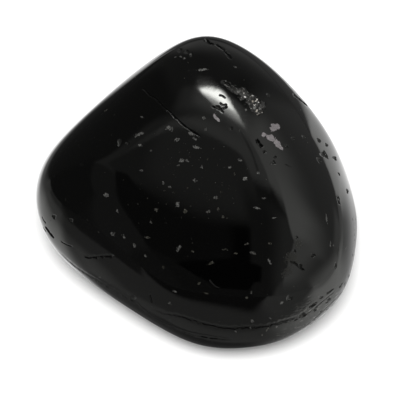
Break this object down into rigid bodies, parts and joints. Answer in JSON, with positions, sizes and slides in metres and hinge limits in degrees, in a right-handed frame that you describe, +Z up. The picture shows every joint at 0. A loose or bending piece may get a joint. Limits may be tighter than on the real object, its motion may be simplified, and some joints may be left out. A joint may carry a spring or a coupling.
{
  "type": "tumbled black tourmaline stone",
  "caption": "Polished tumbled black tourmaline, an uneven rounded pebble worn nearly flat on its crown and base, with fine pits and healed cracks.",
  "frame": {"origin": "middle of the stone's bounding box in plan, in the plane of its worn resting patch", "axes": "+Z up from the resting patch, +X along the stone's length towards its blunt right end, +Y towards the narrow rounded apex"},
  "size_m": [0.0322, 0.0292, 0.0196],
  "materials": {
    "polished_tourmaline": "polished"
  },
  "bodies": {
    "root": {"stone": "polished_tourmaline"}
  },
  "joints": []
}
